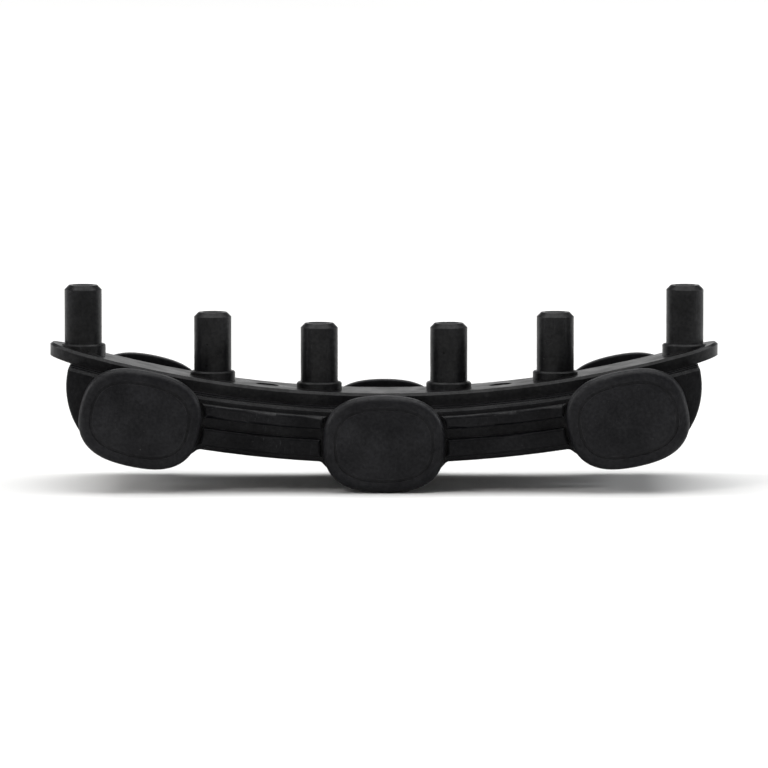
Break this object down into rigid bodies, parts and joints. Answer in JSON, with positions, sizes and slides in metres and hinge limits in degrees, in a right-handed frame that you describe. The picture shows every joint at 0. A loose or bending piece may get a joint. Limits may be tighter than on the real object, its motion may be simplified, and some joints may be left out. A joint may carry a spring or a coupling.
{
  "type": "racket vibration dampener",
  "caption": "Arched black dampener for a racket's throat bridge: a ribbed rail with three round-capped pods whose sprung saddles each take one loop of string.",
  "frame": {"origin": "middle of the bridge seat: the highest-curved face of the rail, at mid length and mid depth", "axes": "+X along the bridge, -Y towards the front of the racket, +Z towards its head"},
  "size_m": [0.0608, 0.02, 0.0181],
  "materials": {
    "rail_plastic": "fine satin moulding grain",
    "grommet_plastic": "satin nylon",
    "cap_rubber": "satin, with a fine grain",
    "saddle_acetal": "smooth, polished by the string",
    "cushion_rubber": "matt, slightly bulged",
    "pin_steel": "ground stainless steel"
  },
  "bodies": {
    "dampener": {"damper_rail": "rail_plastic", "grommet_strip": "grommet_plastic", "front_cap_left": "cap_rubber", "rear_cap_left": "cap_rubber", "cushion_left": "cushion_rubber", "cross_pin_left": "pin_steel", "front_cap_centre": "cap_rubber", "rear_cap_centre": "cap_rubber", "cushion_centre": "cushion_rubber", "cross_pin_centre": "pin_steel", "front_cap_right": "cap_rubber", "rear_cap_right": "cap_rubber", "cushion_right": "cushion_rubber", "cross_pin_right": "pin_steel"},
    "saddle_left": {"saddle_left": "saddle_acetal"},
    "saddle_centre": {"saddle_centre": "saddle_acetal"},
    "saddle_right": {"saddle_right": "saddle_acetal"}
  },
  "joints": [
    {"name": "saddle_left_give", "type": "slide", "parent": "dampener", "child": "saddle_left", "axis": [0.2038, 0, 0.979], "range_m": [0, 0.0005], "stiffness_N_per_m": 250000, "deforming": ["cushion_left"]},
    {"name": "saddle_centre_give", "type": "slide", "parent": "dampener", "child": "saddle_centre", "axis": [0, 0, 1], "range_m": [0, 0.0005], "stiffness_N_per_m": 250000, "deforming": ["cushion_centre"]},
    {"name": "saddle_right_give", "type": "slide", "parent": "dampener", "child": "saddle_right", "axis": [-0.2038, 0, 0.979], "range_m": [0, 0.0005], "stiffness_N_per_m": 250000, "deforming": ["cushion_right"]}
  ]
}
